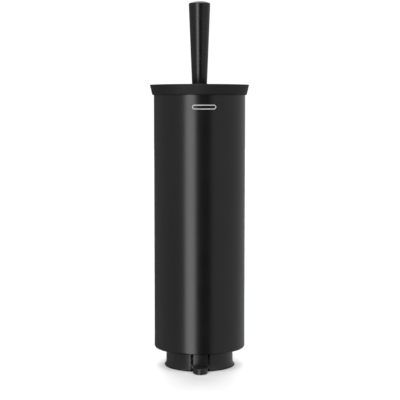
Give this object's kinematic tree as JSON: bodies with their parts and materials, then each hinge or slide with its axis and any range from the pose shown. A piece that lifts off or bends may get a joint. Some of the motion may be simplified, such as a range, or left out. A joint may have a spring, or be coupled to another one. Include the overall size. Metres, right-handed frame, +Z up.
{
  "type": "toilet brush holder",
  "caption": "Slim free-standing toilet brush holder: black painted tube on a narrow foot with a release lever, and a lidded brush with a tapered round handle.",
  "frame": {"origin": "centre of the foot, on the floor", "axes": "+Z up through the handle, the release lever faces -Y, +X to the right seen from the front"},
  "size_m": [0.102, 0.103, 0.376],
  "materials": {
    "black_powder_coat": "satin",
    "black_plastic": "satin",
    "bucket_plastic": "satin",
    "black_rubber": "matte",
    "stainless_steel": "satin",
    "brass": "satin",
    "bristle_nylon": "satin",
    "badge_print": "satin"
  },
  "bodies": {
    "base": {"base": "black_plastic", "non_slip_ring": "black_rubber", "inner_bucket": "bucket_plastic", "base_screws": "stainless_steel", "lever_pin": "stainless_steel", "lever_spring": "stainless_steel"},
    "release_lever": {"release_lever": "black_plastic"},
    "casing": {"casing_tube": "black_powder_coat", "latch_ring": "bucket_plastic", "rim_ring": "black_plastic", "badge": "badge_print"},
    "brush": {"lid": "black_plastic", "lid_seal": "black_rubber", "handle": "black_plastic", "handle_cap": "black_plastic", "handle_insert": "brass", "stem": "stainless_steel", "lid_washer": "stainless_steel", "brush_core": "bucket_plastic", "bristles": "bristle_nylon"}
  },
  "joints": [
    {"name": "lever_release", "type": "hinge", "parent": "base", "child": "release_lever", "pos_m": [0, -0.0282, 0.0125], "axis": [-1, 0, 0], "range_deg": [0, 8], "stiffness_Nm_per_rad": 0.2, "springref_deg": -5.73, "deforming": ["lever_spring"]},
    {"name": "casing_lift", "type": "slide", "parent": "base", "child": "casing", "axis": [0, 0, 1], "range_m": [0, 0.27]},
    {"name": "brush_lift", "type": "slide", "parent": "casing", "child": "brush", "axis": [0, 0, 1], "range_m": [0, 0.26]}
  ]
}
